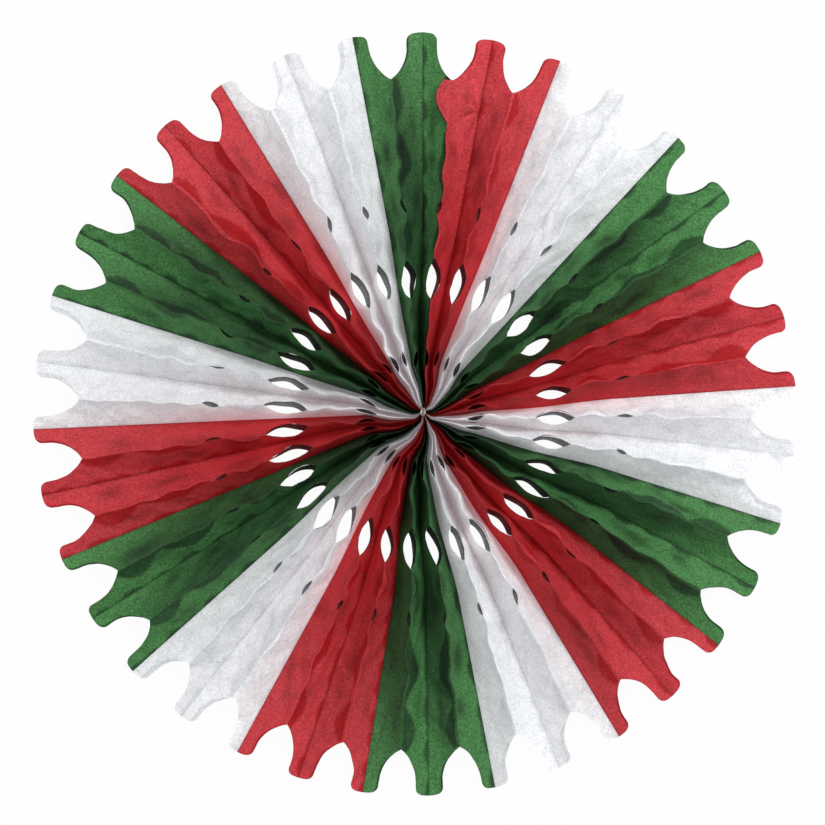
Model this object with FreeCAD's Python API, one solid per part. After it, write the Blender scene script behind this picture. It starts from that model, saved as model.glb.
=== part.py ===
# Paper fan medallion: a round rosette of folded tissue paper in red, white and green.
#
# Lying on its back. +Z is the front, +Y the top as hung, +X the right seen from the front.
# The origin is on the fan's own axis, in the plane that its back folds rest on.
# Angles are in degrees, clockwise from the top as seen from the front. Lengths are in mm.
import FreeCAD, Part
import math
import os

from FreeCAD import Vector

# Driving dimensions of the fan

tooth_count = 35
tip_radius = 300.3
rim_offset = 6.6
rim_offset_towards = 256.0

# The fan was pulled open by hand, so its folds stand wider apart on one side.
first_tooth_angle = 1.7
spread_swing = 2.9
spread_towards = 135.0

# One leaf of tissue. Its width follows from how high the front folds stand at the scallops.

scallop_ridge_height = 14.6
leaf_thickness = 0.15
inner_radius = 4.0

# Scalloped rim

scallop_depth = 36.3
scallop_half_width = 14.7
scallop_round_length = 24.0
scallop_shoulder_across = 9.2
scallop_shoulder_along = 9.6

# Die-cut openings along each front fold, from the rim inwards

slit_inner_end = 156.5
slit_outer_end = 168.5
slit_half_width = 1.7
window_inner_end = 90.0
window_outer_end = 122.5
window_half_width = 5.1
eye_inner_end = 35.0
eye_outer_end = 51.0
eye_half_width = 1.2

# Lobed glue margin that leans over the leaf beside each front fold

margin_thickness = 0.2
margin_lean = 0.6
margin_root_share = 0.08
seam_lift = 0.9
rim_lobe_length = 30.0
rim_lobe_reach = 9.5
rim_lobe_end_reach = 7.0
window_lobe_outer_end = 149.0
window_lobe_reach = 6.0

# Binding wire

wire_diameter = 0.8
wire_clearance = 0.1
wire_height = 13.0
twist_diameter = 2.4
twist_length = 6.6

# Where the flat stretches of a leaf meet, and how finely curves are drawn

near_hub_growth = 2.9
near_hub_steps = 3
outer_stretch_share = 0.7
end_margin = 14.0
curve_steps = 3
small_curve_steps = 2
wire_sides = 8

# Values that follow from the ones above

folds = 2 * tooth_count
even_step = 360.0 / tooth_count
colours = ("red", "white", "green")
teeth_per_colour = 2
seam_fold = 1
scallop_radius = tip_radius - scallop_depth
leaf_share = 2 * math.sin(math.radians(even_step / 4))
leaf_width = math.hypot(scallop_ridge_height, scallop_radius * leaf_share)
cut_floor = -1.0
cut_height = leaf_width + 4.0


def fold_angle(fold):
    """Angle of a fold. Even folds lie at the back, under the teeth, and odd ones at the front."""
    if fold % 2:
        return (fold_angle(fold - 1) + fold_angle(fold + 1)) / 2
    even_angle = even_step * fold / 2
    uneven = spread_swing * math.cos(math.radians(even_angle - spread_towards))
    return first_tooth_angle + even_angle + uneven


def chord(fold, radius):
    """Distance in plan between a front fold and the back folds beside it."""
    half_pitch = (fold_angle(fold + 1) - fold_angle(fold - 1)) / 2
    return 2 * radius * math.sin(math.radians(half_pitch / 2))


def ridge_height(fold, radius):
    """Height of a front fold: the leaf's width is fixed, so it sinks as the folds spread apart."""
    held = min(radius, scallop_radius)
    rise = math.sqrt(leaf_width ** 2 - chord(fold, held) ** 2)
    return rise * radius / held if radius > held else rise


def fold_thickness(radius):
    """Upright thickness of a fold for leaves of even thickness."""
    return leaf_thickness * leaf_width / (radius * leaf_share)


def rim_radius(angle):
    """Radius of the tooth tips: the rim is a circle that is a little off the fan's axis."""
    return tip_radius + rim_offset * math.cos(math.radians(angle - rim_offset_towards))


def along_fold(angle, distance):
    """Distance along a fold, stretched as the rim is there."""
    return distance * rim_radius(angle) / tip_radius


def plan(angle, along, across=0.0, height=0.0):
    """Point at a distance along a radial line and to the clockwise side of it."""
    turn = math.radians(angle)
    return Vector(along * math.sin(turn) + across * math.cos(turn),
                  along * math.cos(turn) - across * math.sin(turn), height)


def stations(reach):
    """Distances from the axis at which a leaf's slope is set."""
    near = [inner_radius * near_hub_growth ** step for step in range(near_hub_steps + 1)]
    return near + [tip_radius * outer_stretch_share, scallop_radius, reach]


def section_point(middle, distance, fold, height):
    """Point of a fold in the upright plane that crosses the middle line at a distance."""
    lean = math.radians(fold_angle(fold) - middle)
    return plan(middle, distance, distance * math.tan(lean), height)


def fold_radius(middle, distance, fold):
    """Radius at which a fold passes through that upright plane."""
    return distance / math.cos(math.radians(fold_angle(fold) - middle))


def flat_face(*corners):
    """Flat face on its corners."""
    return Part.Face(Part.makePolygon(list(corners) + [corners[0]]))


def facets(inner, outer, side):
    """Two flat facets between one side of a section and the next, folded from the higher inner corner."""
    following = (side + 1) % len(inner)
    near = (inner[side], inner[following])
    far = (outer[side], outer[following])
    if near[0].z > near[1].z:
        return [flat_face(near[0], near[1], far[1]), flat_face(near[0], far[1], far[0])]
    return [flat_face(near[0], near[1], far[0]), flat_face(near[1], far[1], far[0])]


def faceted(sections):
    """Solid through flat upright sections of equal point counts."""
    faces = [flat_face(*sections[0]), flat_face(*sections[-1])]
    for inner, outer in zip(sections, sections[1:]):
        for side in range(len(inner)):
            faces += facets(inner, outer, side)
    solid = Part.Solid(Part.Shell(faces))
    solid.fixTolerance(1e-6)
    return solid


def leaf_band(first, last, reach):
    """Zigzag of leaves from one fold to another, as one thin solid."""
    middle = (fold_angle(first) + fold_angle(last)) / 2
    sections = []
    for distance in stations(reach):
        under = []
        over = []
        for fold in range(first, last + 1):
            radius = fold_radius(middle, distance, fold)
            thick = fold_thickness(radius)
            top = ridge_height(fold, radius) if fold % 2 else thick
            under.append(section_point(middle, distance, fold, top - thick))
            over.append(section_point(middle, distance, fold, top))
        sections.append(under + over[::-1])
    return faceted(sections)


def upright(points):
    """Prism that stands on a closed plan outline."""
    return flat_face(*points).extrude(Vector(0, 0, cut_height - cut_floor))


def arc(start, via, end, steps=curve_steps):
    """Points along the circular arc through three points, without the last."""
    return Part.Arc(start, via, end).discretize(steps + 1)[:-1]


def lens(angle, inner_end, outer_end, half_width, steps):
    """Pointed opening on a fold, between two arcs."""
    inner = along_fold(angle, inner_end)
    outer = along_fold(angle, outer_end)
    start = plan(angle, inner, 0.0, cut_floor)
    end = plan(angle, outer, 0.0, cut_floor)
    centre = (inner + outer) / 2
    left, right = [plan(angle, centre, side * half_width, cut_floor) for side in (-1, 1)]
    return upright(arc(start, left, end, steps) + arc(end, right, start, steps))


def scallop(angle):
    """Notch of the rim on a front fold: a rounded end with straight sides out past the tips."""
    deepest = rim_radius(angle) - scallop_depth

    def point(along, across):
        return plan(angle, deepest + along, across, cut_floor)

    def side_points(side):
        bend = point(scallop_shoulder_along, side * scallop_shoulder_across)
        straight = point(scallop_round_length, side * scallop_half_width)
        rim = point(scallop_depth + end_margin, side * scallop_half_width)
        return arc(point(0, 0), bend, straight) + [straight, rim]

    return upright(side_points(-1) + side_points(1)[:0:-1])


def lobe_outlines(fold):
    """Plan outlines of the margin's lobes, on the anticlockwise side of a front fold."""
    angle = fold_angle(fold)
    end = rim_radius(angle) - scallop_depth
    neck = end - rim_lobe_length

    def point(along, reach):
        return plan(angle, along, -reach, cut_floor)

    def outline(inner, outer, reach, end_reach=0.0):
        edge = arc(point(inner, 0), point((inner + outer) / 2, reach), point(outer, end_reach))
        return edge + [point(outer, end_reach), point(outer, -reach), point(inner, -reach)]

    return [outline(neck, end, rim_lobe_reach, rim_lobe_end_reach),
            outline(along_fold(angle, window_outer_end), along_fold(angle, window_lobe_outer_end),
                    window_lobe_reach)]


def margin(fold, middle):
    """Glue margin of a front fold: a strip that lies flatter than the leaf, cut to its lobes.

    At the seam, where the opened fan's two ends overlap, it stands clear of the other end.
    """
    lift = seam_lift if fold == seam_fold else 0.0
    sections = []
    for distance in stations(scallop_radius + end_margin)[near_hub_steps:]:
        radius = fold_radius(middle, distance, fold)
        ridge = ridge_height(fold, radius)
        width = chord(fold, radius)
        slope = ridge / width
        reach = min(rim_lobe_reach + 1.0, width)
        root = margin_root_share * width
        upper = ridge + lift
        lowest = upper - slope * margin_lean * reach
        base = section_point(middle, distance, fold, 0.0)
        turn = math.radians(middle)
        across = Vector(math.cos(turn), -math.sin(turn), 0)
        up = Vector(0, 0, 1)
        sections.append([base + up * upper,
                         base - across * reach + up * lowest,
                         base - across * reach + up * (lowest + margin_thickness),
                         base + up * (upper + margin_thickness),
                         base + across * root + up * (ridge - slope * root - leaf_thickness / 2)])
    strip = faceted(sections)
    return [strip.common(upright(outline)) for outline in lobe_outlines(fold)]


def rim_prism():
    """Prism inside the rim, with one flat side across the end of each tooth."""
    corners = []
    for fold in range(1, folds, 2):
        angle = fold_angle(fold)
        half_pitch = math.radians(fold_angle(fold + 1) - fold_angle(fold - 1)) / 2
        corners.append(plan(angle, rim_radius(angle) / math.cos(half_pitch), 0.0, cut_floor))
    return upright(corners)


def tissue(first, last, rim):
    """All leaves of one colour between two folds, glued to each other at their edges."""
    middle = (fold_angle(first) + fold_angle(last)) / 2
    band = leaf_band(first, last, tip_radius + rim_offset + end_margin).common(rim)
    front_folds = [fold for fold in range(first, last + 1) if fold % 2]
    lobes = []
    for fold in front_folds:
        if fold < last:
            lobes += margin(fold, middle)
    if lobes:
        band = band.fuse(lobes)
    cuts = []
    for fold in front_folds:
        angle = fold_angle(fold)
        cuts.append(scallop(angle))
        cuts.append(lens(angle, window_inner_end, window_outer_end, window_half_width, curve_steps))
        cuts.append(lens(angle, slit_inner_end, slit_outer_end, slit_half_width, small_curve_steps))
        cuts.append(lens(angle, eye_inner_end, eye_outer_end, eye_half_width, small_curve_steps))
    return band.cut(cuts)


def round_bar(radius, length, start, direction):
    """Straight wire, with its round section drawn by a few flat sides."""
    bar = Part.makePolygon([Vector(radius * math.cos(turn), radius * math.sin(turn), 0)
                            for turn in section_turns()])
    solid = Part.Face(bar).extrude(Vector(0, 0, length))
    solid.Placement = FreeCAD.Placement(start, FreeCAD.Rotation(Vector(0, 0, 1), direction))
    return solid


def section_turns():
    """Turns, in radians, of the corners round a wire's section, with the first one again at the end."""
    return [2 * math.pi * corner / wire_sides for corner in range(wire_sides + 1)]


def binding_wire():
    """Wire ring inside the inner ends of the leaves, with its ends twisted together at the front."""
    angle = fold_angle(seam_fold)
    radius = wire_diameter / 2
    ring_radius = inner_radius - wire_clearance - radius
    section = Part.makePolygon([Vector(ring_radius + radius * math.cos(turn), 0,
                                       wire_height + radius * math.sin(turn))
                                for turn in section_turns()])
    ring = Part.Face(section).revolve(Vector(0, 0, 0), Vector(0, 0, 1), 360)
    outward = plan(angle, 1.0)
    run = round_bar(radius, ring_radius + radius, outward * -radius + Vector(0, 0, wire_height), outward)
    twist_height = leaf_width + twist_diameter / 2
    rise = round_bar(radius, twist_height - wire_height, Vector(0, 0, wire_height), Vector(0, 0, 1))
    twist_start = outward * (-twist_length / 2) + Vector(0, 0, twist_height)
    twist = round_bar(twist_diameter / 2, twist_length, twist_start, outward)
    return ring.fuse([run, rise, twist])


def save(shape, name):
    """Write one piece, after joining faces that run on from each other."""
    shape = shape.removeSplitter()
    print(name, "solids", len(shape.Solids), "valid", shape.isValid(), "volume", round(shape.Volume, 1))
    shape.exportStep("parts/" + name + ".step")


def main():
    os.makedirs("parts", exist_ok=True)
    rim = rim_prism()
    leaf_folds = 2 * teeth_per_colour
    sector_count = math.ceil(folds / leaf_folds)
    for sector in range(sector_count):
        first = max(leaf_folds * sector, seam_fold)
        last = min(leaf_folds * (sector + 1), folds + seam_fold)
        number = sector // len(colours) + 1
        save(tissue(first, last, rim), f"{colours[sector % len(colours)]}_tissue_{number}")
    save(binding_wire(), "binding_wire")


main()
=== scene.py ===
import math

import bpy
import numpy as np
from bpy.props import FloatProperty, FloatVectorProperty, IntProperty, PointerProperty
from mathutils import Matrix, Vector


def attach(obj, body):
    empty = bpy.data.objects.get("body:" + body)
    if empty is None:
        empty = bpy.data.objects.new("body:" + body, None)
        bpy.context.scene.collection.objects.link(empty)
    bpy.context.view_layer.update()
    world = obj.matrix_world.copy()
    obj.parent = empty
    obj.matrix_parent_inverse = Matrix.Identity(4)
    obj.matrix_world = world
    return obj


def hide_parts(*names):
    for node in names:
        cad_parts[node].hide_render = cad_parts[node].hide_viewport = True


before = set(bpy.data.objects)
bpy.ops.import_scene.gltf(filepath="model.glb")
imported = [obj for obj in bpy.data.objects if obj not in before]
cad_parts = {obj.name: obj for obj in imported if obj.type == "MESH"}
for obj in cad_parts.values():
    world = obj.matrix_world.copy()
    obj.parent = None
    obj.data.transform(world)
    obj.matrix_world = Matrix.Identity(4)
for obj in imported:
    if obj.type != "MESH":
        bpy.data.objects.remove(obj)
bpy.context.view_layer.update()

bl_info = {
    "name": "Paper Fan Medallion",
    "version": (1, 0, 0),
    "blender": (4, 5, 0),
    "location": "View3D > Sidebar > Paper Fan",
    "description": "Folded tissue-paper fan in red, white and green, with its binding wire and a plain stage",
    "category": "Add Mesh",
}

MM = 0.001
COLOURS = ("red", "white", "green")


def smooth(value):
    """Ease from 0 to 1 as value goes from 0 to 1."""
    value = np.clip(value, 0.0, 1.0)
    return value * value * (3.0 - 2.0 * value)


class FanShape(bpy.types.PropertyGroup):
    """Sizes of the fan and its leaves"""

    tooth_count: IntProperty(name="Teeth", description="Teeth round the rim", default=35, min=6)
    tip_radius: FloatProperty(name="Tip radius", description="Mean distance from the fan's axis to its tooth tips",
                              default=0.3003, unit="LENGTH", subtype="DISTANCE")
    rim_offset: FloatProperty(name="Rim offset", description="How far the rim's circle lies off the axis",
                              default=0.0066, unit="LENGTH", subtype="DISTANCE")
    leaf_width: FloatProperty(name="Leaf width", description="Width of one leaf from back fold to front fold",
                              default=0.02783, unit="LENGTH", subtype="DISTANCE")
    inner_radius: FloatProperty(name="Inner radius", description="Where the leaves start at the hub",
                                default=0.0019, unit="LENGTH", subtype="DISTANCE")
    scallop_depth: FloatProperty(name="Scallop depth", description="Depth of the notches between the teeth",
                                 default=0.0363, unit="LENGTH", subtype="DISTANCE")
    wrinkle_depth: FloatProperty(name="Wrinkle depth", description="Height of the soft wrinkles in the tissue",
                                 default=0.0011, unit="LENGTH", subtype="DISTANCE")
    ridge_sway: FloatProperty(name="Ridge sway", description="How far the front folds wander sideways",
                              default=0.0014, unit="LENGTH", subtype="DISTANCE")
    seed: IntProperty(name="Seed", description="Starting number of the wrinkles", default=7)


class FanColours(bpy.types.PropertyGroup):
    """Colours of the tissue and the wire"""

    red: FloatVectorProperty(name="Red tissue", description="Colour of one layer of red tissue",
                             default=(0.530, 0.051, 0.062), subtype="COLOR", min=0.0, max=1.0)
    # Each darker second colour is tissue over another sheet, and also serves as painted shade.
    red_deep: FloatVectorProperty(name="Red, doubled", description="Colour of red tissue over a second layer",
                                  default=(0.350, 0.008, 0.011), subtype="COLOR", min=0.0, max=1.0)
    white: FloatVectorProperty(name="White tissue", description="Colour of one layer of white tissue",
                               default=(0.840, 0.852, 0.875), subtype="COLOR", min=0.0, max=1.0)
    white_deep: FloatVectorProperty(name="White, shaded", description="Colour of white tissue over a second layer",
                                    default=(0.680, 0.695, 0.730), subtype="COLOR", min=0.0, max=1.0)
    green: FloatVectorProperty(name="Green tissue", description="Colour of one layer of green tissue",
                               default=(0.043, 0.140, 0.042), subtype="COLOR", min=0.0, max=1.0)
    green_deep: FloatVectorProperty(name="Green, doubled", description="Colour of green tissue over a second layer",
                                    default=(0.011, 0.038, 0.013), subtype="COLOR", min=0.0, max=1.0)
    wire: FloatVectorProperty(name="Wire", description="Colour of the dull binding wire",
                              default=(0.170, 0.130, 0.100), subtype="COLOR", min=0.0, max=1.0)


class FanStage(bpy.types.PropertyGroup):
    """Camera, lamps and floor"""

    camera_distance: FloatProperty(name="Camera distance", description="From the camera to the fan",
                                   default=3.6, unit="LENGTH", subtype="DISTANCE")
    view_width: FloatProperty(name="View width", description="Width that the camera takes in at the fan",
                              default=0.6501, unit="LENGTH", subtype="DISTANCE")
    lamp_watts: FloatProperty(name="Lamp", description="Power of the large soft lamp", default=55.0, unit="POWER")
    world_light: FloatProperty(name="Room light", description="Strength of the even light all round", default=0.72)
    floor: FloatVectorProperty(name="Floor", description="Colour of the floor as it lights the fan",
                               default=(0.55, 0.55, 0.55), subtype="COLOR", min=0.0, max=1.0)


class Socket:
    """An output socket of a material, so that shader maths reads as ordinary maths."""

    def __init__(self, paint, source):
        self.paint = paint
        self.source = source

    def calculate(self, operation, *values):
        node = self.paint.add("ShaderNodeMath", {"operation": operation}, dict(enumerate(values)))
        return Socket(self.paint, node.outputs[0])

    def __add__(self, other):
        return self.calculate("ADD", self, other)

    def __radd__(self, other):
        return self.calculate("ADD", other, self)

    def __sub__(self, other):
        return self.calculate("SUBTRACT", self, other)

    def __rsub__(self, other):
        return self.calculate("SUBTRACT", other, self)

    def __mul__(self, other):
        return self.calculate("MULTIPLY", self, other)

    def __rmul__(self, other):
        return self.calculate("MULTIPLY", other, self)

    def clamped(self):
        return Socket(self.paint, self.paint.add("ShaderNodeClamp", {}, {"Value": self}).outputs[0])


class Paint:
    """Node tree of one material, or of the light all round."""

    def __init__(self, owner):
        self.owner = owner
        owner.use_nodes = True
        self.tree = owner.node_tree
        self.tree.nodes.clear()

    def add(self, kind, settings, values):
        """Node of one kind, with its settings set first and then its sockets' values or links."""
        node = self.tree.nodes.new(kind)
        for name, setting in settings.items():
            setattr(node, name, setting)
        for name, value in values.items():
            if isinstance(value, Socket):
                self.tree.links.new(value.source, node.inputs[name])
            else:
                node.inputs[name].default_value = value
        return node

    def out(self, kind, settings, values, output=0):
        return Socket(self, self.add(kind, settings, values).outputs[output])

    def mixed(self, share, first, second):
        """Colour between two colours."""
        return self.out("ShaderNodeMix", {"data_type": "RGBA"}, {0: share, 6: first, 7: second}, 2)

    def tinted(self, colour, value):
        """Colour times a plain number."""
        grey = self.out("ShaderNodeCombineColor", {}, {0: value, 1: value, 2: value})
        return self.out("ShaderNodeMix", {"data_type": "RGBA", "blend_type": "MULTIPLY"},
                        {0: 1.0, 6: colour, 7: grey}, 2)

    def summed(self, first, second):
        """Sum of two colours."""
        return self.out("ShaderNodeMix", {"data_type": "RGBA", "blend_type": "ADD"},
                        {0: 1.0, 6: first, 7: second}, 2)

    def noise(self, place, scale, detail=2.0, roughness=0.5):
        return self.out("ShaderNodeTexNoise", {}, {"Vector": place, "Scale": scale, "Detail": detail,
                                                   "Roughness": roughness})

    def read(self, name):
        """Number that the mesh carries at each point."""
        return self.out("ShaderNodeAttribute", {"attribute_name": name}, {}, "Fac")

    def place(self):
        return self.out("ShaderNodeTexCoord", {}, {}, "Object")

    def rays(self):
        """What kind of ray looks at the surface, by name."""
        node = self.add("ShaderNodeLightPath", {}, {})
        return {output.name: Socket(self, output) for output in node.outputs}

    def surface(self, shader):
        self.add("ShaderNodeOutputMaterial", {}, {"Surface": shader})
        return self.owner


def four(colour):
    """Colour with full cover."""
    return (colour[0], colour[1], colour[2], 1.0)


# Paper's surface: noise scales are for each metre
PULP_SCALE = 640.0
CLOUD_SCALE = 60.0
CREASE_SCALE = 48.0
CREASE_BEND_SCALE = 38.0
CREASE_BEND = (0.018, 0.018, 0.018)
CREASE_SHARPNESS = 9.0
CLOUD_IN_COLOUR = 0.7
CLOUD_IN_TONE = 0.3
CREASE_IN_TONE = 0.09
RELIEF_DISTANCE = 0.0012
RELIEF_STRENGTH = 0.65
# Colour of the painted red light on white beside red.
RED_PAINTED_GLOW = (1.0, 0.22, 0.26, 1.0)


def tissue_material(name, single, doubled_and_shaded, passed_light, painted_glow_tint, through, grain):
    """Thin matt tissue: mottled pulp, fine fibres and crushed creases, with light passing through it, painted light
    given off inside it and painted shade in its darker second colour.
    """
    paint = Paint(bpy.data.materials.new(name))
    paint.owner.cycles.emission_sampling = "NONE"
    place = paint.place()
    tone = paint.read("tone")
    layer = paint.read("layer")
    pulp = paint.noise(place, PULP_SCALE, 3.0, 0.75)
    cloud = paint.noise(place, CLOUD_SCALE, 3.0, 0.55)
    swirl = paint.out("ShaderNodeTexNoise", {}, {"Vector": place, "Scale": CREASE_BEND_SCALE, "Detail": 2.0}, "Color")
    bent = paint.out("ShaderNodeVectorMath", {"operation": "MULTIPLY_ADD"}, {0: swirl, 1: CREASE_BEND, 2: place})
    edge = paint.out("ShaderNodeTexVoronoi", {"feature": "DISTANCE_TO_EDGE"}, {"Vector": bent, "Scale": CREASE_SCALE})
    crease = (1.0 - edge * CREASE_SHARPNESS).clamped()
    # The darker second colour shows another sheet and painted shade.
    colour = paint.mixed((layer + (cloud - 0.5) * CLOUD_IN_COLOUR).clamped(), four(single), four(doubled_and_shaded))
    value = tone * (1.0 + (pulp - 0.5) * grain + (cloud - 0.5) * CLOUD_IN_TONE - crease * CREASE_IN_TONE)
    relief = cloud * 0.6 + pulp * 0.05 + crease * 0.2
    normal = paint.out("ShaderNodeBump", {}, {"Height": relief, "Strength": RELIEF_STRENGTH,
                                              "Distance": RELIEF_DISTANCE})
    # Painted light: emission standing in for light carried inside the tissue, and for red light cast on white beside
    # red.
    own = paint.tinted(four(painted_glow_tint), paint.read("glow"))
    painted_glow_sum = paint.summed(own, paint.tinted(RED_PAINTED_GLOW, paint.read("blush")))
    front = paint.out("ShaderNodeBsdfPrincipled", {},
                      {"Base Color": paint.tinted(colour, value), "Roughness": 0.7, "Specular IOR Level": 0.22,
                       "Emission Color": painted_glow_sum, "Emission Strength": 1.0, "Normal": normal})
    back = paint.out("ShaderNodeBsdfTranslucent", {}, {"Color": four(passed_light), "Normal": normal})
    passed = through * (tone * 2.5 - 0.4).clamped()
    return paint.surface(paint.out("ShaderNodeMixShader", {}, {0: passed, 1: front, 2: back}))


TARNISH_SCALE = 900.0
SCRATCH_SCALE = 5200.0


def wire_material(colour):
    """Dull drawn wire with a little tarnish."""
    paint = Paint(bpy.data.materials.new("binding_wire"))
    place = paint.place()
    tarnish = paint.noise(place, TARNISH_SCALE, 4.0, 0.6)
    scratch = paint.noise(place, SCRATCH_SCALE, 2.0, 0.5)
    value = 0.75 + tarnish * 0.6
    normal = paint.out("ShaderNodeBump", {}, {"Height": scratch, "Strength": 0.3, "Distance": 0.0002})
    return paint.surface(paint.out("ShaderNodeBsdfPrincipled", {},
                                   {"Base Color": paint.tinted(four(colour), value), "Metallic": 0.1,
                                    "Specular IOR Level": 0.2, "Roughness": 0.6 + tarnish * 0.2,
                                    "Normal": normal}))


def lens_cut(along, inner_end, outer_end, half_width):
    """Half width of a pointed opening between two arcs, at distances along its fold."""
    half = (outer_end - inner_end) / 2
    radius = (half * half + half_width * half_width) / (2 * half_width)
    offset = along - (inner_end + outer_end) / 2
    inside = np.abs(offset) < half
    return np.where(inside, np.sqrt(np.maximum(radius * radius - offset * offset, 0.0)) - (radius - half_width), 0.0)


def lobe(along, inner_end, outer_end, reach):
    """Reach of one lobe of the glue margin past its fold."""
    share = np.clip((along - inner_end) / (outer_end - inner_end), 0.0, 1.0)
    return reach * np.sin(math.pi * share) ** 1.1


class Fan:
    """The opened fan's measures, in mm and degrees clockwise from the top."""

    offset_towards = 256.0
    first_tooth_angle = 1.7
    spread_swing = 2.9
    spread_towards = 135.0
    back_fold_shift = 0.3
    scallop_half_width = 14.7
    scallop_round_length = 24.0
    scallop_shoulder = (9.6, 9.2)
    tip_corner = 4.4

    def __init__(self, shape):
        self.teeth = shape.tooth_count
        self.folds = 2 * shape.tooth_count
        self.tip = shape.tip_radius / MM
        self.offset = shape.rim_offset / MM
        self.leaf_width = shape.leaf_width / MM
        self.inner = shape.inner_radius / MM
        self.depth = shape.scallop_depth / MM
        self.wrinkle = shape.wrinkle_depth / MM
        self.sway = shape.ridge_sway / MM
        self.seed = shape.seed
        self.apex = self.tip - self.depth
        self.rows = self.row_places()

    def fold_angle(self, fold):
        if fold % 2:
            return (self.fold_angle(fold - 1) + self.fold_angle(fold + 1)) / 2
        even = 360.0 / self.teeth * fold / 2
        return self.first_tooth_angle + even + self.spread_swing * math.cos(math.radians(even - self.spread_towards))

    def rim_radius(self, angle):
        return self.tip + self.offset * math.cos(math.radians(angle - self.offset_towards))

    def row_places(self):
        """Distances along a leaf, closer together where its edge turns."""
        spans = ((self.inner, 30.0, 1.4), (30.0, 55.0, 1.0), (55.0, 88.0, 1.4), (88.0, 127.0, 1.0),
                 (127.0, 152.0, 1.5), (152.0, 170.0, 1.0), (170.0, self.apex - 1.0, 1.5),
                 (self.apex - 1.0, self.apex + 2.0, 0.25), (self.apex + 2.0, self.apex + 10.0, 0.65),
                 (self.apex + 10.0, self.tip - 3.0, 1.4), (self.tip - 3.0, self.tip, 0.3))
        places = [np.arange(start, end - step * 0.4, step) for start, end, step in spans]
        return np.concatenate(places + [[self.tip]])

    def radius(self, angle):
        """Real distances from the axis of the rows, on a fold at an angle."""
        apex = self.rim_radius(angle) - self.depth
        return np.where(self.rows <= self.apex, self.rows * apex / self.apex, apex + self.rows - self.apex)

    def chord(self, fold, radius):
        half_pitch = (self.fold_angle(fold + 1) - self.fold_angle(fold - 1)) / 2
        return 2 * radius * math.sin(math.radians(half_pitch / 2))

    def ridge_height(self, fold, radius):
        held = np.minimum(radius, self.apex)
        rise = np.sqrt(self.leaf_width ** 2 - self.chord(fold, held) ** 2)
        return rise * radius / held

    def scallop_cut(self):
        """Half width of the notch at each row."""
        along = self.rows - self.apex
        bend, across = self.scallop_shoulder
        end, half = self.scallop_round_length, self.scallop_half_width
        lever = np.array([[bend, across], [end, half]]) * 2
        centre = np.linalg.solve(lever, np.array([bend ** 2 + across ** 2, end ** 2 + half ** 2]))
        radius = math.hypot(*centre)
        arc = centre[1] + np.sqrt(np.maximum(radius ** 2 - (along - centre[0]) ** 2, 0.0))
        plain_chord = 2 * self.rows * math.sin(math.radians(90.0 / self.teeth))
        shoulder_chord = 2 * (self.apex + end) * math.sin(math.radians(90.0 / self.teeth))
        cut = np.where(along > end, half + plain_chord - shoulder_chord, arc)
        corner = np.maximum(self.rows - (self.tip - self.tip_corner), 0.0)
        cut = cut + self.tip_corner - np.sqrt(np.maximum(self.tip_corner ** 2 - corner ** 2, 0.0))
        return np.where(along > 0, np.maximum(cut, 0.0), 0.0)


def wander(rng, along, lengths):
    """Smooth seeded line about zero, of about unit size."""
    total = np.zeros_like(along)
    for length in lengths:
        total += rng.uniform(0.5, 1.0) * np.sin(2 * math.pi * along / (length * rng.uniform(0.8, 1.25))
                                                 + rng.uniform(0, 2 * math.pi))
    return total / (0.75 * math.sqrt(len(lengths)))


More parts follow.
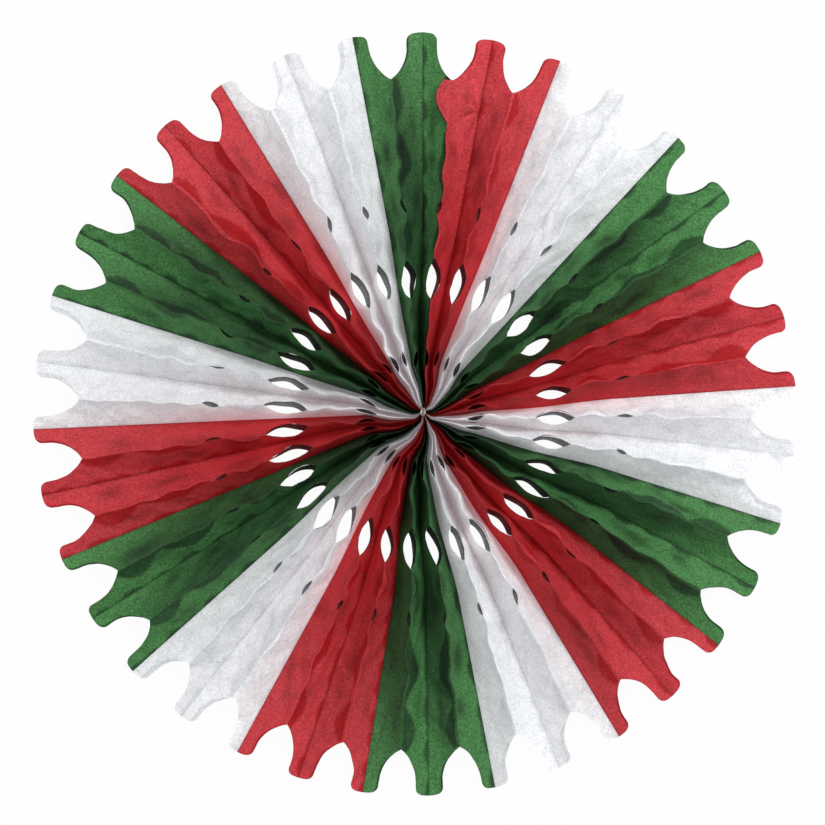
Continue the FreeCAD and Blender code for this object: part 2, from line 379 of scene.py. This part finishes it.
class Ridge:
    """One front fold, with the openings and glue margin of the two leaves that meet there."""

    window_place = (90.0, 122.5)
    window_width = 5.1
    slit_place = (156.5, 168.5)
    eye_place = (36.0, 51.0)
    small_cut_width = 1.5
    rim_lobe_reach = 9.5
    rim_lobe_start = 231.0
    middle_lobe_place = (197.0, 228.0)
    window_lobe_place = (124.5, 150.0)
    hub_pinch = 0.29

    def __init__(self, fan, fold):
        rng = np.random.default_rng(1000 * fan.seed + fold % fan.folds)
        rows = fan.rows
        self.fold = fold
        self.angle = fan.fold_angle(fold)
        self.seam = fold % fan.folds == 1
        radius = fan.radius(self.angle)
        self.chord = fan.chord(fold, radius)
        spread = np.minimum(1.0, self.chord / 16.0) * smooth((rows - 20.0) / 60.0)
        near_rim = 1.0 - 0.72 * smooth((rows - 185.0) / 55.0)
        self.wave = fan.sway * spread * near_rim * wander(rng, rows, (27.0, 41.0, 66.0))
        pinch = smooth((rows - 8.0) / 16.0) * (1.0 - smooth((rows - 60.0) / 50.0))
        self.wave = self.wave + self.hub_pinch * self.chord * pinch * wander(rng, rows, (26.0, 47.0, 70.0))
        self.height = fan.ridge_height(fold, radius) + 0.5 * spread * near_rim * wander(rng, rows, (19.0, 33.0))
        self.window_ends = (self.window_place[0] + rng.uniform(-2, 2), self.window_place[1] + rng.uniform(-2.5, 1.0))
        self.window_half = self.window_width * rng.uniform(0.88, 1.08)
        self.window = lens_cut(rows, *self.window_ends, self.window_half)
        self.slit = lens_cut(rows, self.slit_place[0] + rng.uniform(-1.5, 1.5),
                             self.slit_place[1] + rng.uniform(-2, 2), self.small_cut_width * rng.uniform(0.5, 1.2))
        self.eye = lens_cut(rows, self.eye_place[0] + rng.uniform(-1, 2),
                            self.eye_place[1] + rng.uniform(-2, 2), self.small_cut_width * rng.uniform(0.7, 1.2))
        self.scallop = fan.scallop_cut()
        self.cut = self.window + self.slit + self.eye + self.scallop
        rim_reach = self.rim_lobe_reach * rng.uniform(0.75, 1.12)
        rim_front = self.seam or rng.uniform() < 0.06
        rim_lobe = lobe(rows, self.rim_lobe_start + rng.uniform(-3, 3), fan.apex + 8.0, rim_reach)
        start, end = self.middle_lobe_place
        middle_lobe = lobe(rows, start + rng.uniform(-3, 3), end, 2.4 * rng.uniform(0.5, 1.3))
        middle_front = rng.uniform() < 0.4
        start, end = self.window_lobe_place
        window_lobe = lobe(rows, start, end + rng.uniform(-2, 2), 2.7 * rng.uniform(0.5, 1.2))
        self.front = 0.5 + window_lobe + rim_lobe * rim_front + middle_lobe * middle_front
        # Dark lobes beside the ridge: another sheet with painted shade. The side they lie on is picked by the fold's
        # angle, after how the light falls.
        seen = lobe(rows, 171.0 + rng.uniform(-4, 4), 229.0 + rng.uniform(-6, 2), rng.uniform(3.5, 8.5))
        seen += lobe(rows, 123.0, 152.0 + rng.uniform(-2, 4), rng.uniform(2.5, 6.0))
        seen += rng.uniform(0.8, 2.6) * smooth((rows - 170.0) / 40.0) * smooth((fan.apex + 6.0 - rows) / 6.0)
        clockwise_odds = 0.75 if self.angle % 180.0 > 95.0 else 0.2
        clockwise = rng.uniform() < clockwise_odds and not rim_front
        self.behind = np.zeros_like(rows) if clockwise else seen + rim_lobe * (not rim_front)
        self.under = seen + rim_lobe * 0.8 if clockwise else np.zeros_like(rows)


class Dents:
    """Soft creases over one leaf, the same for every grid that is laid on it."""

    lengths = ((70.0, 1.3), (46.0, 1.1), (31.0, 0.85), (22.0, 0.6), (14.0, 0.36), (9.0, 0.18))

    def __init__(self, rng, fan, ridge, star):
        self.fan = fan
        self.ridge = ridge
        self.star = star
        self.waves = [(length, size * rng.choice((-1.0, 1.0)), rng.uniform(-1.15, 1.15),
                       rng.uniform(0, 2 * math.pi), rng.uniform(60, 110), rng.uniform(0, 2 * math.pi))
                      for length, size in self.lengths]

    def depth(self, share, picked=slice(None)):
        """How far the tissue stands out of the flat leaf, in mm."""
        along = self.fan.rows[picked][:, None]
        across = share * self.fan.leaf_width
        total = np.zeros_like(across)
        for length, size, turn, phase, swell, start in self.waves:
            wave = np.sin(2 * math.pi * (along * math.sin(turn) + across * math.cos(turn)) / length + phase)
            grown = 0.6 + 0.4 * np.sin(2 * math.pi * along / swell + start)
            total += size * grown * (np.sqrt(wave * wave + 0.03) - 0.6)
        if self.star:
            total += crumple(self.fan, along, share)
        room = np.minimum(1.0, self.ridge.chord[picked][:, None] / 15.0)
        return self.fan.wrinkle * room * total * (4 * share * (1 - share)).clip(0) ** 0.6


class Sheets:
    """Grids of points gathered into one mesh."""

    def __init__(self):
        self.points = []
        self.faces = []
        self.values = {"tone": [], "layer": [], "glow": [], "blush": []}
        self.count = 0

    def add(self, x, y, z, flip=False, tone=1.0, layer=0.0, glow=0.0, blush=0.0):
        rows, columns = x.shape
        self.points.append(np.stack([x, y, z], axis=-1).reshape(-1, 3))
        for key, value in (("tone", tone), ("layer", layer), ("glow", glow), ("blush", blush)):
            self.values[key].append(np.broadcast_to(value, x.shape).reshape(-1))
        index = self.count + np.arange(rows * columns).reshape(rows, columns)
        corners = [index[:-1, :-1], index[1:, :-1], index[1:, 1:], index[:-1, 1:]]
        if flip:
            corners.reverse()
        self.faces.append(np.stack(corners, axis=-1).reshape(-1, 4))
        self.count += rows * columns

    def build(self, name, material):
        mesh = bpy.data.meshes.new(name)
        points = np.concatenate(self.points) * MM
        faces = np.concatenate(self.faces)
        mesh.from_pydata(points.tolist(), [], faces.tolist())
        for key, parts in self.values.items():
            values = np.ascontiguousarray(np.concatenate(parts), dtype=np.float32)
            mesh.attributes.new(key, "FLOAT", "POINT").data.foreach_set("value", values)
        mesh.shade_smooth()
        mesh.materials.append(material)
        piece = bpy.data.objects.new(name, mesh)
        bpy.context.scene.collection.objects.link(piece)
        return piece


LEAF_COLUMNS = 12
MARGIN_COLUMNS = 4
BAND_COLUMNS = 2
POCKET_COLUMNS = 4
MARGIN_LIFT = 0.45
SEAM_LIFT = 1.6


def profile(share):
    """Rise of a leaf across its width: it steepens towards its front fold."""
    return 0.65 * share + 0.35 * share * share


def twisted(x, y):
    """Leaves as they are pulled round beside the binding wire."""
    distance = np.hypot(x, y)
    angle = np.arctan2(x, y)
    settled = smooth((distance - 18.0) / 30.0)
    slide = 1.8 * settled - 0.5 + (5.1 - 1.6 * settled) * np.cos(angle - np.radians(70.0 + 80.0 * settled))
    pull = slide * (1.0 - smooth((distance - 80.0) / 70.0)) / np.maximum(distance, 8.0)
    return distance * np.sin(angle + pull), distance * np.cos(angle + pull)


def leaf_points(fan, ridge, back_fold, share, rows=slice(None), dent=None, lift=0.0):
    """Places on the leaf between a front fold and a back fold, at shares of the way across it."""
    turn_front = math.radians(ridge.angle)
    back_angle = fan.fold_angle(back_fold) + fan.back_fold_shift
    turn_back = math.radians(back_angle)
    front_radius = fan.radius(ridge.angle)[rows][:, None]
    back_radius = fan.radius(back_angle)[rows][:, None]
    wave = ridge.wave[rows][:, None]
    front_x = front_radius * math.sin(turn_front) + wave * math.cos(turn_front)
    front_y = front_radius * math.cos(turn_front) - wave * math.sin(turn_front)
    back_x = back_radius * math.sin(turn_back)
    back_y = back_radius * math.cos(turn_back)
    run_x, run_y = front_x - back_x, front_y - back_y
    run = np.hypot(run_x, run_y)
    height = ridge.height[rows][:, None]
    past = np.maximum(share - 1.0, 0.0)
    level = profile(np.minimum(share, 1.0)) * height - 0.6 * past * height + lift
    x, y = back_x + run_x * share, back_y + run_y * share
    if dent is not None:
        slant = np.hypot(run, height)
        x = x - dent * height / slant * run_x / run
        y = y - dent * height / slant * run_y / run
        level = level + dent * run / slant
    near_tip = smooth((fan.rows[rows][:, None] - (fan.tip - 12.0)) / 12.0)
    across = share * run
    bulge = near_tip * (1.2 - 2.1 * (across / 12.0) ** 2)
    x = x + bulge * math.sin(turn_back)
    y = y + bulge * math.cos(turn_back)
    x, y = twisted(x, y)
    return x, y, np.maximum(level, 0.02)


# Looks of the leaves, by colour: widths in mm, the rest as shares
BAND_WIDTH = {"red": 1.4, "white": 3.4, "green": 1.4}
# The next two rows paint shade towards the hub: a share of the darker second colour, and a lower tone.
HUB_LAYER_SHADE = {"red": 0.45, "white": 0.0, "green": 0.35}
HUB_TONE = {"red": 0.90, "white": 0.87, "green": 0.80}
HUB_UNEVEN = {"red": 1.2, "white": 0.7, "green": 1.8}
# Painted shade, in soft patches and in the back fold.
PATCH_SHADE = {"red": 0.55, "white": 0.12, "green": 0.80}
BACK_FOLD_SHADE = {"red": 0.42, "white": 0.16, "green": 0.42}
OUTLINE_DARKNESS = {"red": 0.35, "white": 0.0, "green": 0.35}
# Painted highlight along the front fold near the hub, and painted shadow in the openings.
FOLD_HIGHLIGHT = {"red": 0.10, "white": 0.22, "green": 0.0}
POCKET_SHADOW_TONE = {"red": 0.12, "white": 0.15, "green": 0.10}

# Painted light, as emission standing in for light carried inside the tissue. A leaf with a margin: everywhere, in the
# middle of its length, at the hub.
# A leaf without one: everywhere, at the hub.
OWNER_PAINTED_GLOW = {"red": (0.02, 0.15, 0.035), "white": (0.04, 0.06, 0.09)}
OTHER_PAINTED_GLOW = {"red": (0.02, 0.025), "white": (0.02, 0.10)}
RED_GLOW_BESIDE_RED = 0.32
RED_GLOW_ELSEWHERE = 0.12
STAR_LIGHT = 1.1


def layer_and_painted_shade(rng, fan, ridge, owner, to_front, to_back):
    """Share of each point in the darker second colour: partly another sheet against it, partly painted shade beside
    the ridge, under the leaning margin and along the folds.
    """
    rows = fan.rows[:, None]
    patchy = 0.5 + 0.5 * np.clip(wander(rng, fan.rows, (24.0, 43.0)), -1.0, 1.0)[:, None]
    hidden = (ridge.under if owner else ridge.behind)[:, None]
    # Dark lobes along the ridge: another sheet, with painted shade.
    layer = 0.9 * smooth((hidden + 0.7 - to_front) / 1.5) * smooth(hidden / 1.5)
    if owner:
        # Painted shade near the margin leaf's front fold.
        return layer + 0.35 * patchy * smooth(1.1 - to_front / 4.0)
    front = ridge.front[:, None]
    # Painted shadow under the leaning margin.
    spill, fade = (2.2, 2.2) if ridge.seam else (3.6, 4.0)
    layer = layer + 0.7 * smooth((front + spill - to_front) / fade) * smooth(front / 2.0)
    # Painted shade along the back fold.
    return layer + 0.9 * smooth((1.2 + 4.2 * patchy - to_back) / 3.0) * smooth((rows - 60.0) / 60.0)


def leaf_tone(rng, fan, colour, owner, share, to_front):
    """Lightness of each point: darker towards the hub as painted shade, less even there, with soft patches of painted
    shade.
    """
    rows = fan.rows[:, None]
    # Painted shade towards the hub.
    tone = HUB_TONE[colour] + (1.0 - HUB_TONE[colour]) * smooth((rows - 25.0) / 150.0)
    tone = tone * rng.uniform(0.93, 1.05)
    tone = tone * (1.0 + rng.uniform(-0.45, 0.30) * HUB_UNEVEN[colour] * (1.0 - smooth((rows - 45.0) / 70.0)))
    # Soft patches of painted shade.
    tone = tone * (1.0 - PATCH_SHADE[colour] * painted_shade_patches(rng, fan, rows, to_front))
    # Green: painted shade on the margin leaf towards the hub and towards its front fold; the other leaf is lighter,
    # more so towards the hub.
    if colour == "green" and owner:
        inside = 1.0 - smooth((rows - 180.0) / 110.0)
        front_fold_shade = share * smooth((rows - 150.0) / 60.0) * (1.0 - smooth((rows - 275.0) / 25.0))
        tone = tone * (1.42 * (1.0 - 0.48 * inside) * (1.0 - 0.42 * front_fold_shade))
    elif colour == "green":
        tone = tone * (1.27 + 0.17 * (1.0 - smooth((rows - 190.0) / 80.0)))
    elif colour == "white" and not owner:
        tone = tone * (1.0 + 0.06 * (1.0 - smooth((rows - 290.0) / 20.0)))
    return tone


def painted_inner_glow(colour, owner, back_fold, share, rows):
    """Painted light, as emission standing in for light inside the tissue: its own colour's, and a red neighbour's
    light on white.
    """
    if colour == "green":
        return 0.0, 0.0
    away = 1.0 - 0.85 * np.minimum(share, 1.0) ** 2
    middle = smooth((rows - 38.0) / 40.0) * (1.0 - smooth((rows - 120.0) / 100.0))
    innermost = 1.0 - smooth((rows - 45.0) / 35.0)
    if owner:
        plain, in_middle, at_hub = OWNER_PAINTED_GLOW[colour]
        return (plain + in_middle * middle) * away + at_hub * innermost, 0.0
    plain, at_hub = OTHER_PAINTED_GLOW[colour]
    glow = plain + at_hub * innermost
    if colour == "red":
        return glow, 0.0
    strength = RED_GLOW_BESIDE_RED if back_fold % 4 == 0 else RED_GLOW_ELSEWHERE
    return glow, strength * (0.08 + 0.92 * middle) * (1.0 - share) ** 1.5 + 0.05 * innermost


def cut_edge(colour, past_apex, to_edge):
    """Dark line along the cut edge of a tooth."""
    return 1.0 - OUTLINE_DARKNESS[colour] * past_apex * smooth(1.3 - to_edge / 0.9)


def add_leaf(sheets, fan, ridge, back_fold, colour):
    """One leaf. The one clockwise of its front fold carries the margin, which leans over the other."""
    owner = back_fold > ridge.fold
    rng = np.random.default_rng(5000 * fan.seed + 2 * (ridge.fold % fan.folds) + int(owner))
    rows = fan.rows[:, None]
    chord = ridge.chord[:, None]
    cut = ridge.cut.copy()
    band = np.zeros_like(cut)
    if owner:
        band = BAND_WIDTH[colour] * smooth((fan.rows - fan.apex) / 16.0) * smooth((fan.tip + 0.4 - fan.rows) / 2.5)
        cut = cut + band
    reach = np.where(cut > 0.02, -cut, ridge.front if owner else 0.0)
    edge = np.maximum(1.0 + reach[:, None] / chord, 0.12)
    knee = np.minimum(1.0, 0.9 * edge) if owner else edge
    share = knee * np.linspace(0.0, 1.0, LEAF_COLUMNS + 1)[None, :]
    dents = Dents(rng, fan, ridge, star=ridge.seam and owner)
    x, y, z = leaf_points(fan, ridge, back_fold, share, dent=dents.depth(share))
    to_front = (1.0 - share) * chord
    to_back = share * chord
    inner = 1.0 - smooth((rows - 120.0) / 150.0)
    layer = layer_and_painted_shade(rng, fan, ridge, owner, to_front, to_back)
    # Painted shade towards the hub, in the darker second colour.
    layer = np.minimum(layer + HUB_LAYER_SHADE[colour] * inner, 1.0)
    tone = leaf_tone(rng, fan, colour, owner, share, to_front)
    if ridge.seam and owner:
        # Painted light and shade along the star's crease lines.
        tone = tone * (1.0 + STAR_LIGHT * crumple(fan, rows, share, sharp=True))
    # Painted shade in the back fold.
    line = 1.0 - BACK_FOLD_SHADE[colour] * smooth(1.0 - to_back / 1.0)
    # Painted shadow of the seam's margin lobe on the leaf beside it.
    if ridge.seam and not owner:
        line = line * (1.0 - 0.85 * smooth((ridge.front[:, None] + 1.5 - to_front) / 1.2))
    past_apex = smooth((rows - fan.apex) / 2.0)
    line = line * cut_edge(colour, past_apex, np.minimum((edge - share) * chord, fan.tip - rows))
    near_hub = 1.0 - smooth((rows - 90.0) / 50.0)
    # Painted highlight along the front fold, near the hub.
    painted_fold_highlight = 1.0 + FOLD_HIGHLIGHT[colour] * smooth(1.3 - to_front / 0.8) * near_hub
    # Painted light given off by the tissue, and painted red light on white.
    glow, blush = painted_inner_glow(colour, owner, back_fold, share, rows)
    sheets.add(x, y, z, flip=owner, tone=tone * line * painted_fold_highlight, layer=layer, glow=glow, blush=blush)
    if owner:
        # The margin's tone, with a painted highlight near the hub.
        edge_tone = tone[:, -1:] * (1.04 + FOLD_HIGHLIGHT[colour] * near_hub)
        # The margin gets painted shade towards the hub, in the darker second colour.
        add_margin(sheets, fan, ridge, back_fold, colour, dents, knee, edge, edge_tone, 0.1 + 0.4 * inner)
        add_band(sheets, fan, ridge, back_fold, colour, dents, edge, band, edge_tone)
        for opening in (ridge.eye, ridge.slit, ridge.window):
            add_shadow_pocket(sheets, fan, ridge, opening, POCKET_SHADOW_TONE[colour])


def add_margin(sheets, fan, ridge, back_fold, colour, dents, knee, edge, edge_tone, layer):
    """Lobed glue margin, from just short of the front fold out to its cut edge."""
    rows = fan.rows[:, None]
    share = knee + (edge - knee) * np.linspace(0.0, 1.0, MARGIN_COLUMNS + 1)[None, :]
    past = np.maximum(share - 1.0, 0.0) * ridge.chord[:, None]
    lift = smooth(past / 2.0) * (SEAM_LIFT if ridge.seam else MARGIN_LIFT)
    x, y, z = leaf_points(fan, ridge, back_fold, share, dent=dents.depth(share), lift=lift)
    line = cut_edge(colour, smooth((rows - fan.apex) / 2.0), fan.tip - rows)
    sheets.add(x, y, z, flip=True, tone=edge_tone * line, layer=layer)


def add_band(sheets, fan, ridge, back_fold, colour, dents, edge, band, edge_tone):
    """Strip beside the tooth's edge: a second sheet, darkened as painted shadow of the tooth."""
    picked = band > 0.15
    chord = ridge.chord[picked][:, None]
    inner_side = edge[picked] - 0.6 / chord
    outer_side = edge[picked] + band[picked][:, None] / chord
    share = inner_side + (outer_side - inner_side) * np.linspace(0.0, 1.0, BAND_COLUMNS + 1)[None, :]
    x, y, z = leaf_points(fan, ridge, back_fold, share, rows=picked, dent=dents.depth(share, picked), lift=-0.5)
    line = 1.0 - OUTLINE_DARKNESS[colour] * np.array([0.0, 0.4, 1.0])[None, :]
    sheets.add(x, y, z, flip=True, tone=edge_tone[picked] * 0.92 * line, layer=0.9)
# Painted shadow: a darker tone and the darker second colour.


def painted_shade_patches(rng, fan, rows, to_front):
    """Soft patches of painted shade, where the sheets behind touch the leaf."""
    total = np.zeros(np.broadcast_shapes(rows.shape, to_front.shape))
    for place in np.arange(112.0, fan.apex, 31.0):
        along = rows - (place + rng.uniform(-13.0, 13.0))
        across = to_front - rng.uniform(2.0, 15.0)
        size = rng.uniform(0.15, 1.0)
        fall = (along / rng.uniform(7.0, 17.0)) ** 2 + (across / rng.uniform(2.5, 5.0)) ** 2
        total = np.maximum(total, size * np.exp(-fall))
    return total


STAR_PLACE = 244.0
STAR_REACH = 15.0
STAR_HEIGHT = 3.6


def crumple(fan, rows, share, sharp=False):
    """Star of sharp creases near the free edge at the seam, as a height, or as painted light and shade along its
    lines.
    """
    along, across = rows - STAR_PLACE, share * fan.leaf_width - 1.0
    spread = np.hypot(along, across)
    arms = np.abs(np.cos(3.5 * np.arctan2(across, along) + 0.4))
    near = np.exp(-(spread / STAR_REACH) ** 2)
    return ((1.0 - arms) ** 2 - 0.25) * near if sharp else STAR_HEIGHT * arms * near


WINDOW_SHADOW_SHIFT = 4.7


def add_shadow_pocket(sheets, fan, ridge, opening, tone):
    """Dark sheet of painted shadow in an opening. It fills a small one and lies along one side of a window."""
    inside = np.flatnonzero(opening > 0.02)
    picked = np.arange(inside[0] - 1, inside[-1] + 2)
    half = opening[picked]
    overlap = 0.5 + 0.5 * half * (opening is ridge.eye)
    low, high = -half - overlap, half + overlap
    if opening is ridge.window:
        # The window's lit part is the opening shifted one way; the dark sheet covers the rest as painted shadow.
        turn = math.radians(ridge.angle + 45.0)
        across, along = -WINDOW_SHADOW_SHIFT * math.cos(turn), -WINDOW_SHADOW_SHIFT * math.sin(turn)
        clear = lens_cut(fan.rows[picked] - along, *ridge.window_ends, ridge.window_half)
        if across < 0:
            low = np.clip(across + clear, -half, half)
            low = np.where(clear > 0.02, low, -half - overlap)
        else:
            high = np.clip(across - clear, -half, half)
            high = np.where(clear > 0.02, high, half + overlap)
    chord = ridge.chord[picked]
    level = profile(np.maximum(1.0 - (half + overlap) / chord, 0.05)) * ridge.height[picked] - 0.8
    columns = np.linspace(0.0, 1.0, POCKET_COLUMNS + 1)[None, :]
    across = ridge.wave[picked][:, None] + low[:, None] + (high - low)[:, None] * columns
    turn = math.radians(ridge.angle)
    radius = fan.radius(ridge.angle)[picked][:, None]
    x, y = twisted(radius * math.sin(turn) + across * math.cos(turn),
                   radius * math.cos(turn) - across * math.sin(turn))
    z = np.broadcast_to(np.maximum(level, 0.3)[:, None], x.shape)
    sheets.add(x, y, z, flip=True, tone=tone, layer=1.0)


class PAPERFAN_OT_tissue(bpy.types.Operator):
    """Build the folded tissue, one piece for each sector of colour"""

    bl_idname = "paperfan.tissue"
    bl_label = "Folded tissue"

    def execute(self, context):
        fan = Fan(context.scene.paperfan_shape)
        tints = context.scene.paperfan_colours
        paper = {
            "red": tissue_material("red_tissue_paper", tints.red, tints.red_deep, passed_light=(0.60, 0.03, 0.04),
                                   painted_glow_tint=(0.96, 0.024, 0.032), through=0.34, grain=2.5),
            "white": tissue_material("white_tissue_paper", tints.white, tints.white_deep,
                                     passed_light=(0.86, 0.87, 0.88), painted_glow_tint=(0.86, 0.87, 0.88),
                                     through=0.42, grain=1.6),
            "green": tissue_material("green_tissue_paper", tints.green, tints.green_deep,
                                     passed_light=(0.03, 0.13, 0.03), painted_glow_tint=(0.03, 0.13, 0.03),
                                     through=0.16, grain=3.1),
        }
        ridges = {fold: Ridge(fan, fold) for fold in range(1, fan.folds + 2, 2)}
        for sector in range(math.ceil(fan.folds / 4)):
            first, last = max(4 * sector, 1), min(4 * sector + 4, fan.folds + 1)
            colour = COLOURS[sector % 3]
            number = sector // 3 + 1
            sheets = Sheets()
            for fold in range(first, last):
                front, back = (fold, fold + 1) if fold % 2 else (fold + 1, fold)
                add_leaf(sheets, fan, ridges[front], back, colour)
            piece = sheets.build(f"{colour}_leaves_{number}", paper[colour])
            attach(piece, "root")
            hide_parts(f"{colour}_tissue_{number}")
        return {"FINISHED"}


WIRE_RADIUS = 0.4
WIRE_SIDES = 10
WIRE_HEIGHT = 13.0
RING_RADIUS = 3.5
STRAND_RADIUS = 0.74
STRAND_SIDES = 16
STRAND_REACH = 2.7
STRAND_SPACING = 0.66
STRAND_TURN = 3.9
STRAND_ABOVE_LEAVES = 1.15
WIRE_OFF_AXIS = 0.2


def add_tube(sheets, points, radius, sides):
    """Round wire along a line, with domed ends."""
    points = np.asarray(points, dtype=float)
    along = np.gradient(points, axis=0)
    along /= np.linalg.norm(along, axis=1)[:, None]
    side = np.cross(along, np.array([0.31, 0.17, 0.93]))
    side /= np.linalg.norm(side, axis=1)[:, None]
    other = np.cross(along, side)
    dome = ((0.0, 1.0), (0.5, 0.87), (0.87, 0.5), (1.0, 0.0))
    rings = []
    for grow, slide in dome:
        rings.append((points[0] - along[0] * radius * slide, side[0], other[0], radius * max(grow, 0.02)))
    for place in range(1, len(points) - 1):
        rings.append((points[place], side[place], other[place], radius))
    for grow, slide in reversed(dome):
        rings.append((points[-1] + along[-1] * radius * slide, side[-1], other[-1], radius * max(grow, 0.02)))
    turns = np.linspace(0.0, 2 * math.pi, sides + 1)
    grid = np.array([centre[None, :] + size * (np.cos(turns)[:, None] * across[None, :]
                                               + np.sin(turns)[:, None] * upward[None, :])
                     for centre, across, upward, size in rings])
    sheets.add(grid[..., 0], grid[..., 1], grid[..., 2])


class PAPERFAN_OT_wire(bpy.types.Operator):
    """Build the binding wire: a ring at the hub with its ends twisted together in front"""

    bl_idname = "paperfan.wire"
    bl_label = "Binding wire"

    def execute(self, context):
        fan = Fan(context.scene.paperfan_shape)
        turn = math.radians(fan.fold_angle(1))
        outward = np.array([math.sin(turn), math.cos(turn), 0.0])
        across = np.array([math.cos(turn), -math.sin(turn), 0.0])
        upward = np.array([0.0, 0.0, 1.0])
        level = fan.leaf_width + STRAND_ABOVE_LEAVES
        sheets = Sheets()
        steps = np.linspace(-1.0, 1.0, 61)
        for phase in (0.0, math.pi):
            line = [outward * step * STRAND_REACH + across * STRAND_SPACING * math.cos(phase + step * STRAND_TURN)
                    + upward * (level + 0.45 * math.sin(phase + step * STRAND_TURN)) for step in steps]
            add_tube(sheets, line, STRAND_RADIUS, STRAND_SIDES)
        ring = [np.array([RING_RADIUS * math.cos(turn), RING_RADIUS * math.sin(turn), WIRE_HEIGHT])
                for turn in np.linspace(0.0, 2 * math.pi, 49)]
        add_tube(sheets, ring, WIRE_RADIUS, WIRE_SIDES)
        run = [outward * reach + upward * WIRE_HEIGHT for reach in np.linspace(WIRE_OFF_AXIS, 3.3, 8)]
        rise = [upward * height + outward * WIRE_OFF_AXIS for height in np.linspace(13.6, level, 12)]
        add_tube(sheets, run[::-1] + rise, WIRE_RADIUS, WIRE_SIDES)
        piece = sheets.build("wire_twist", wire_material(context.scene.paperfan_colours.wire))
        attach(piece, "root")
        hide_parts("binding_wire")
        return {"FINISHED"}


# Each lamp's name, place and size in metres, and share of the lamp power
LAMPS = (("key_lamp", (1.25, 1.35, 1.9), 0.9, 1.0), ("fill_lamp", (-1.5, -0.2, 2.2), 1.6, 0.3))
CAMERA_SHIFT = (-8.27, -0.39)
CAMERA_LIFT = 8.0
FLOOR_HALF_WIDTH = 9.0
FLOOR_LEVEL = -0.0005


class PAPERFAN_OT_stage(bpy.types.Operator):
    """Set up the camera, the soft lamps and the pale floor"""

    bl_idname = "paperfan.stage"
    bl_label = "Camera, lamps and floor"

    def execute(self, context):
        scene = context.scene
        stage = scene.paperfan_stage
        scene.view_settings.view_transform = "Standard"
        self.camera(scene, stage)
        self.lamps(scene, stage)
        self.floor(scene, stage)
        return {"FINISHED"}

    def camera(self, scene, stage):
        data = bpy.data.cameras.new("camera")
        data.sensor_width = 36.0
        data.lens = data.sensor_width * stage.camera_distance / stage.view_width
        data.clip_end = 100.0
        camera = bpy.data.objects.new("camera", data)
        camera.location = (CAMERA_SHIFT[0] * MM, CAMERA_SHIFT[1] * MM, stage.camera_distance + CAMERA_LIFT * MM)
        scene.collection.objects.link(camera)
        scene.camera = camera

    def lamps(self, scene, stage):
        for name, place, size, share in LAMPS:
            data = bpy.data.lights.new(name, "AREA")
            data.size = size
            data.energy = stage.lamp_watts * share
            lamp = bpy.data.objects.new(name, data)
            lamp.location = place
            lamp.rotation_euler = (-Vector(place)).to_track_quat("-Z", "Y").to_euler()
            scene.collection.objects.link(lamp)
        scene.world = bpy.data.worlds.new("room")
        paint = Paint(scene.world)
        rays = paint.rays()
        seen = rays["Is Camera Ray"].calculate("MAXIMUM", rays["Is Camera Ray"], rays["Is Glossy Ray"])
        strength = stage.world_light + seen * (1.0 - stage.world_light)
        room = paint.out("ShaderNodeBackground", {}, {"Color": (1.0, 1.0, 1.0, 1.0), "Strength": strength})
        paint.add("ShaderNodeOutputWorld", {}, {"Surface": room})

    def floor(self, scene, stage):
        mesh = bpy.data.meshes.new("floor")
        half, level = FLOOR_HALF_WIDTH, FLOOR_LEVEL
        mesh.from_pydata([(-half, -half, level), (half, -half, level), (half, half, level), (-half, half, level)],
                         [], [(0, 1, 2, 3)])
        floor = bpy.data.objects.new("floor", mesh)
        scene.collection.objects.link(floor)
        paint = Paint(bpy.data.materials.new("floor_paint"))
        seen = paint.rays()["Is Camera Ray"] * 0.96
        grain = paint.noise(paint.place(), 14.0, 3.0)
        mottled = paint.tinted(four(stage.floor), 0.97 + grain * 0.06)
        matt = paint.out("ShaderNodeBsdfDiffuse", {}, {"Color": mottled})
        plain = paint.out("ShaderNodeEmission", {}, {"Color": (1.0, 1.0, 1.0, 1.0), "Strength": 1.0})
        mesh.materials.append(paint.surface(paint.out("ShaderNodeMixShader", {}, {0: seen, 1: matt, 2: plain})))


class PAPERFAN_PT_panel(bpy.types.Panel):
    """Sizes, colours and operators of the paper fan"""

    bl_idname = "PAPERFAN_PT_panel"
    bl_label = "Paper Fan"
    bl_space_type = "VIEW_3D"
    bl_region_type = "UI"
    bl_category = "Paper Fan"

    def draw(self, context):
        layout = self.layout
        for group in (context.scene.paperfan_shape, context.scene.paperfan_colours, context.scene.paperfan_stage):
            box = layout.box()
            for name in type(group).__annotations__:
                box.prop(group, name)
        for operator in OPERATORS:
            layout.operator(operator.bl_idname)


OPERATORS = (PAPERFAN_OT_tissue, PAPERFAN_OT_wire, PAPERFAN_OT_stage)
GROUPS = {"paperfan_shape": FanShape, "paperfan_colours": FanColours, "paperfan_stage": FanStage}


def register():
    for kind in (*GROUPS.values(), *OPERATORS, PAPERFAN_PT_panel):
        bpy.utils.register_class(kind)
    for name, kind in GROUPS.items():
        setattr(bpy.types.Scene, name, PointerProperty(type=kind))


def unregister():
    for name in GROUPS:
        delattr(bpy.types.Scene, name)
    for kind in (PAPERFAN_PT_panel, *reversed(OPERATORS), *reversed(tuple(GROUPS.values()))):
        bpy.utils.unregister_class(kind)


def main():
    register()
    bpy.ops.paperfan.stage()
    bpy.ops.paperfan.tissue()
    bpy.ops.paperfan.wire()


if __name__ == "__main__":
    main()
